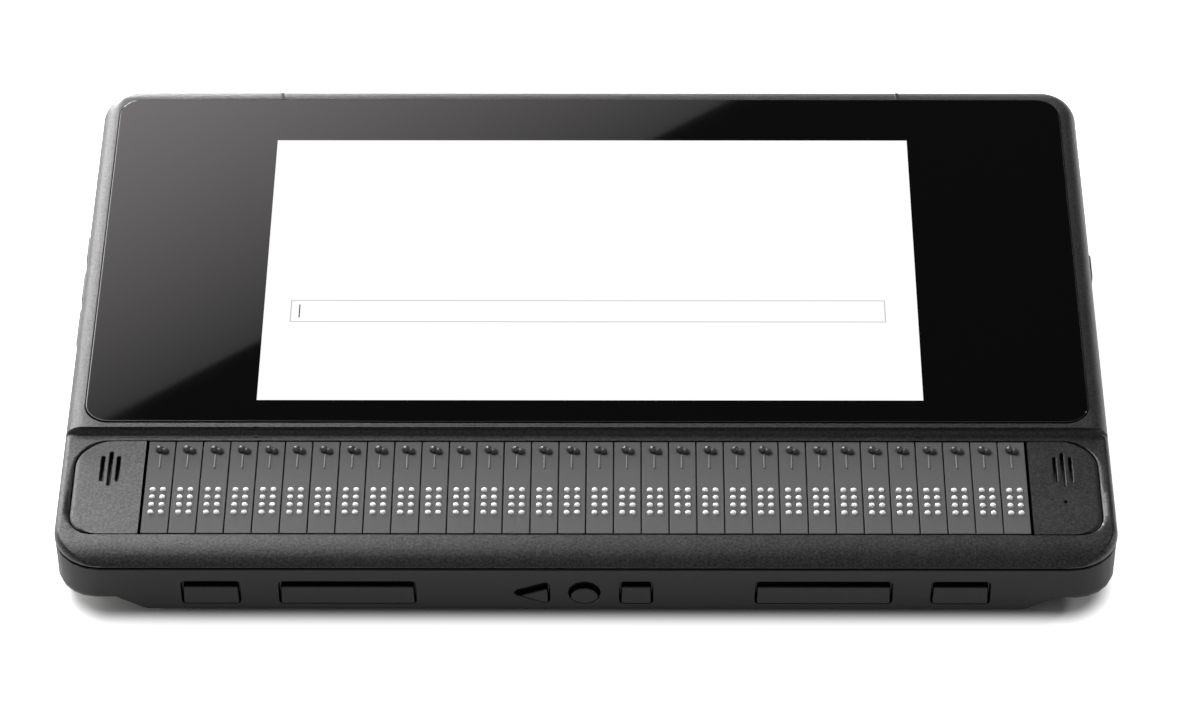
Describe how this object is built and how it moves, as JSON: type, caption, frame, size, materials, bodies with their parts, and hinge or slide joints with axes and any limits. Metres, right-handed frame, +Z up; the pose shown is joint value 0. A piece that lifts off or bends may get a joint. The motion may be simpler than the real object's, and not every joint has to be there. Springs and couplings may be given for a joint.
{
  "type": "braille notetaker",
  "caption": "Flat portable braille notetaker: glass touch display behind a row of refreshable braille cells with routing keys, thumb keys in the front edge, side buttons, rear ports.",
  "frame": {"origin": "on the table, under the centre of the case's outline, at the underside of the foot strips", "axes": "+X to the user's right along the braille row, +Y away from the user towards the rear ports, +Z up"},
  "size_m": [0.2472, 0.1666, 0.02],
  "materials": {
    "case_plastic": "fine spark-eroded texture, dark grey",
    "lower_plastic": "smooth matt, near black",
    "key_plastic": "smooth satin, near black",
    "cap_plastic": "smooth matt grey with white dots",
    "routing_plastic": "polished dark grey",
    "cover_glass": "polished, black printed underneath round the display",
    "display": "lit white",
    "circuit_board": "green solder resist",
    "battery_wrap": "black film",
    "foot_rubber": "matt black",
    "speaker_steel": "dull"
  },
  "bodies": {
    "case": {"top_case": "case_plastic", "bottom_case": "lower_plastic", "left_end_panel": "case_plastic", "right_end_panel": "case_plastic", "cover_glass": "cover_glass", "display_module": "display", "braille_cells_left": "cap_plastic", "braille_cells_right": "cap_plastic", "braille_backplane": "circuit_board", "left_speaker": "speaker_steel", "right_speaker": "speaker_steel", "front_key_board": "circuit_board", "main_board": "circuit_board", "battery_pack": "battery_wrap", "battery_door": "lower_plastic", "front_foot_strip": "foot_rubber", "rear_foot_strip": "foot_rubber"},
    "previous_thumb_key_body": {"previous_thumb_key": "key_plastic"},
    "back_thumb_key_body": {"back_thumb_key": "key_plastic"},
    "triangle_key_body": {"triangle_key": "key_plastic"},
    "circle_key_body": {"circle_key": "key_plastic"},
    "square_key_body": {"square_key": "key_plastic"},
    "advance_thumb_key_body": {"advance_thumb_key": "key_plastic"},
    "next_thumb_key_body": {"next_thumb_key": "key_plastic"},
    "media_button_body": {"media_button": "key_plastic"},
    "volume_up_button_body": {"volume_up_button": "key_plastic"},
    "volume_down_button_body": {"volume_down_button": "key_plastic"},
    "power_button_body": {"power_button": "key_plastic"},
    "routing_button_01_body": {"routing_button_01": "routing_plastic"},
    "routing_button_02_body": {"routing_button_02": "routing_plastic"},
    "routing_button_03_body": {"routing_button_03": "routing_plastic"},
    "routing_button_04_body": {"routing_button_04": "routing_plastic"},
    "routing_button_05_body": {"routing_button_05": "routing_plastic"},
    "routing_button_06_body": {"routing_button_06": "routing_plastic"},
    "routing_button_07_body": {"routing_button_07": "routing_plastic"},
    "routing_button_08_body": {"routing_button_08": "routing_plastic"},
    "routing_button_09_body": {"routing_button_09": "routing_plastic"},
    "routing_button_10_body": {"routing_button_10": "routing_plastic"},
    "routing_button_11_body": {"routing_button_11": "routing_plastic"},
    "routing_button_12_body": {"routing_button_12": "routing_plastic"},
    "routing_button_13_body": {"routing_button_13": "routing_plastic"},
    "routing_button_14_body": {"routing_button_14": "routing_plastic"},
    "routing_button_15_body": {"routing_button_15": "routing_plastic"},
    "routing_button_16_body": {"routing_button_16": "routing_plastic"},
    "routing_button_17_body": {"routing_button_17": "routing_plastic"},
    "routing_button_18_body": {"routing_button_18": "routing_plastic"},
    "routing_button_19_body": {"routing_button_19": "routing_plastic"},
    "routing_button_20_body": {"routing_button_20": "routing_plastic"},
    "routing_button_21_body": {"routing_button_21": "routing_plastic"},
    "routing_button_22_body": {"routing_button_22": "routing_plastic"},
    "routing_button_23_body": {"routing_button_23": "routing_plastic"},
    "routing_button_24_body": {"routing_button_24": "routing_plastic"},
    "routing_button_25_body": {"routing_button_25": "routing_plastic"},
    "routing_button_26_body": {"routing_button_26": "routing_plastic"},
    "routing_button_27_body": {"routing_button_27": "routing_plastic"},
    "routing_button_28_body": {"routing_button_28": "routing_plastic"},
    "routing_button_29_body": {"routing_button_29": "routing_plastic"},
    "routing_button_30_body": {"routing_button_30": "routing_plastic"},
    "routing_button_31_body": {"routing_button_31": "routing_plastic"},
    "routing_button_32_body": {"routing_button_32": "routing_plastic"}
  },
  "joints": [
    {"name": "previous_thumb_key_press", "type": "slide", "parent": "case", "child": "previous_thumb_key_body", "axis": [0, 1, 0], "range_m": [0, 0.0008], "stiffness_N_per_m": 1200},
    {"name": "back_thumb_key_press", "type": "slide", "parent": "case", "child": "back_thumb_key_body", "axis": [0, 1, 0], "range_m": [0, 0.0008], "stiffness_N_per_m": 1200},
    {"name": "triangle_key_press", "type": "slide", "parent": "case", "child": "triangle_key_body", "axis": [0, 1, 0], "range_m": [0, 0.0008], "stiffness_N_per_m": 1200},
    {"name": "circle_key_press", "type": "slide", "parent": "case", "child": "circle_key_body", "axis": [0, 1, 0], "range_m": [0, 0.0008], "stiffness_N_per_m": 1200},
    {"name": "square_key_press", "type": "slide", "parent": "case", "child": "square_key_body", "axis": [0, 1, 0], "range_m": [0, 0.0008], "stiffness_N_per_m": 1200},
    {"name": "advance_thumb_key_press", "type": "slide", "parent": "case", "child": "advance_thumb_key_body", "axis": [0, 1, 0], "range_m": [0, 0.0008], "stiffness_N_per_m": 1200},
    {"name": "next_thumb_key_press", "type": "slide", "parent": "case", "child": "next_thumb_key_body", "axis": [0, 1, 0], "range_m": [0, 0.0008], "stiffness_N_per_m": 1200},
    {"name": "media_button_press", "type": "slide", "parent": "case", "child": "media_button_body", "axis": [1, 0, 0], "range_m": [0, 0.0005], "stiffness_N_per_m": 2000},
    {"name": "volume_up_button_press", "type": "slide", "parent": "case", "child": "volume_up_button_body", "axis": [1, 0, 0], "range_m": [0, 0.0005], "stiffness_N_per_m": 2000},
    {"name": "volume_down_button_press", "type": "slide", "parent": "case", "child": "volume_down_button_body", "axis": [1, 0, 0], "range_m": [0, 0.0005], "stiffness_N_per_m": 2000},
    {"name": "power_button_press", "type": "slide", "parent": "case", "child": "power_button_body", "axis": [-1, 0, 0], "range_m": [0, 0.0005], "stiffness_N_per_m": 2000},
    {"name": "routing_button_01_press", "type": "slide", "parent": "case", "child": "routing_button_01_body", "axis": [0, 0, -1], "range_m": [0, 0.0005], "stiffness_N_per_m": 600},
    {"name": "routing_button_02_press", "type": "slide", "parent": "case", "child": "routing_button_02_body", "axis": [0, 0, -1], "range_m": [0, 0.0005], "stiffness_N_per_m": 600},
    {"name": "routing_button_03_press", "type": "slide", "parent": "case", "child": "routing_button_03_body", "axis": [0, 0, -1], "range_m": [0, 0.0005], "stiffness_N_per_m": 600},
    {"name": "routing_button_04_press", "type": "slide", "parent": "case", "child": "routing_button_04_body", "axis": [0, 0, -1], "range_m": [0, 0.0005], "stiffness_N_per_m": 600},
    {"name": "routing_button_05_press", "type": "slide", "parent": "case", "child": "routing_button_05_body", "axis": [0, 0, -1], "range_m": [0, 0.0005], "stiffness_N_per_m": 600},
    {"name": "routing_button_06_press", "type": "slide", "parent": "case", "child": "routing_button_06_body", "axis": [0, 0, -1], "range_m": [0, 0.0005], "stiffness_N_per_m": 600},
    {"name": "routing_button_07_press", "type": "slide", "parent": "case", "child": "routing_button_07_body", "axis": [0, 0, -1], "range_m": [0, 0.0005], "stiffness_N_per_m": 600},
    {"name": "routing_button_08_press", "type": "slide", "parent": "case", "child": "routing_button_08_body", "axis": [0, 0, -1], "range_m": [0, 0.0005], "stiffness_N_per_m": 600},
    {"name": "routing_button_09_press", "type": "slide", "parent": "case", "child": "routing_button_09_body", "axis": [0, 0, -1], "range_m": [0, 0.0005], "stiffness_N_per_m": 600},
    {"name": "routing_button_10_press", "type": "slide", "parent": "case", "child": "routing_button_10_body", "axis": [0, 0, -1], "range_m": [0, 0.0005], "stiffness_N_per_m": 600},
    {"name": "routing_button_11_press", "type": "slide", "parent": "case", "child": "routing_button_11_body", "axis": [0, 0, -1], "range_m": [0, 0.0005], "stiffness_N_per_m": 600},
    {"name": "routing_button_12_press", "type": "slide", "parent": "case", "child": "routing_button_12_body", "axis": [0, 0, -1], "range_m": [0, 0.0005], "stiffness_N_per_m": 600},
    {"name": "routing_button_13_press", "type": "slide", "parent": "case", "child": "routing_button_13_body", "axis": [0, 0, -1], "range_m": [0, 0.0005], "stiffness_N_per_m": 600},
    {"name": "routing_button_14_press", "type": "slide", "parent": "case", "child": "routing_button_14_body", "axis": [0, 0, -1], "range_m": [0, 0.0005], "stiffness_N_per_m": 600},
    {"name": "routing_button_15_press", "type": "slide", "parent": "case", "child": "routing_button_15_body", "axis": [0, 0, -1], "range_m": [0, 0.0005], "stiffness_N_per_m": 600},
    {"name": "routing_button_16_press", "type": "slide", "parent": "case", "child": "routing_button_16_body", "axis": [0, 0, -1], "range_m": [0, 0.0005], "stiffness_N_per_m": 600},
    {"name": "routing_button_17_press", "type": "slide", "parent": "case", "child": "routing_button_17_body", "axis": [0, 0, -1], "range_m": [0, 0.0005], "stiffness_N_per_m": 600},
    {"name": "routing_button_18_press", "type": "slide", "parent": "case", "child": "routing_button_18_body", "axis": [0, 0, -1], "range_m": [0, 0.0005], "stiffness_N_per_m": 600},
    {"name": "routing_button_19_press", "type": "slide", "parent": "case", "child": "routing_button_19_body", "axis": [0, 0, -1], "range_m": [0, 0.0005], "stiffness_N_per_m": 600},
    {"name": "routing_button_20_press", "type": "slide", "parent": "case", "child": "routing_button_20_body", "axis": [0, 0, -1], "range_m": [0, 0.0005], "stiffness_N_per_m": 600},
    {"name": "routing_button_21_press", "type": "slide", "parent": "case", "child": "routing_button_21_body", "axis": [0, 0, -1], "range_m": [0, 0.0005], "stiffness_N_per_m": 600},
    {"name": "routing_button_22_press", "type": "slide", "parent": "case", "child": "routing_button_22_body", "axis": [0, 0, -1], "range_m": [0, 0.0005], "stiffness_N_per_m": 600},
    {"name": "routing_button_23_press", "type": "slide", "parent": "case", "child": "routing_button_23_body", "axis": [0, 0, -1], "range_m": [0, 0.0005], "stiffness_N_per_m": 600},
    {"name": "routing_button_24_press", "type": "slide", "parent": "case", "child": "routing_button_24_body", "axis": [0, 0, -1], "range_m": [0, 0.0005], "stiffness_N_per_m": 600},
    {"name": "routing_button_25_press", "type": "slide", "parent": "case", "child": "routing_button_25_body", "axis": [0, 0, -1], "range_m": [0, 0.0005], "stiffness_N_per_m": 600},
    {"name": "routing_button_26_press", "type": "slide", "parent": "case", "child": "routing_button_26_body", "axis": [0, 0, -1], "range_m": [0, 0.0005], "stiffness_N_per_m": 600},
    {"name": "routing_button_27_press", "type": "slide", "parent": "case", "child": "routing_button_27_body", "axis": [0, 0, -1], "range_m": [0, 0.0005], "stiffness_N_per_m": 600},
    {"name": "routing_button_28_press", "type": "slide", "parent": "case", "child": "routing_button_28_body", "axis": [0, 0, -1], "range_m": [0, 0.0005], "stiffness_N_per_m": 600},
    {"name": "routing_button_29_press", "type": "slide", "parent": "case", "child": "routing_button_29_body", "axis": [0, 0, -1], "range_m": [0, 0.0005], "stiffness_N_per_m": 600},
    {"name": "routing_button_30_press", "type": "slide", "parent": "case", "child": "routing_button_30_body", "axis": [0, 0, -1], "range_m": [0, 0.0005], "stiffness_N_per_m": 600},
    {"name": "routing_button_31_press", "type": "slide", "parent": "case", "child": "routing_button_31_body", "axis": [0, 0, -1], "range_m": [0, 0.0005], "stiffness_N_per_m": 600},
    {"name": "routing_button_32_press", "type": "slide", "parent": "case", "child": "routing_button_32_body", "axis": [0, 0, -1], "range_m": [0, 0.0005], "stiffness_N_per_m": 600}
  ]
}
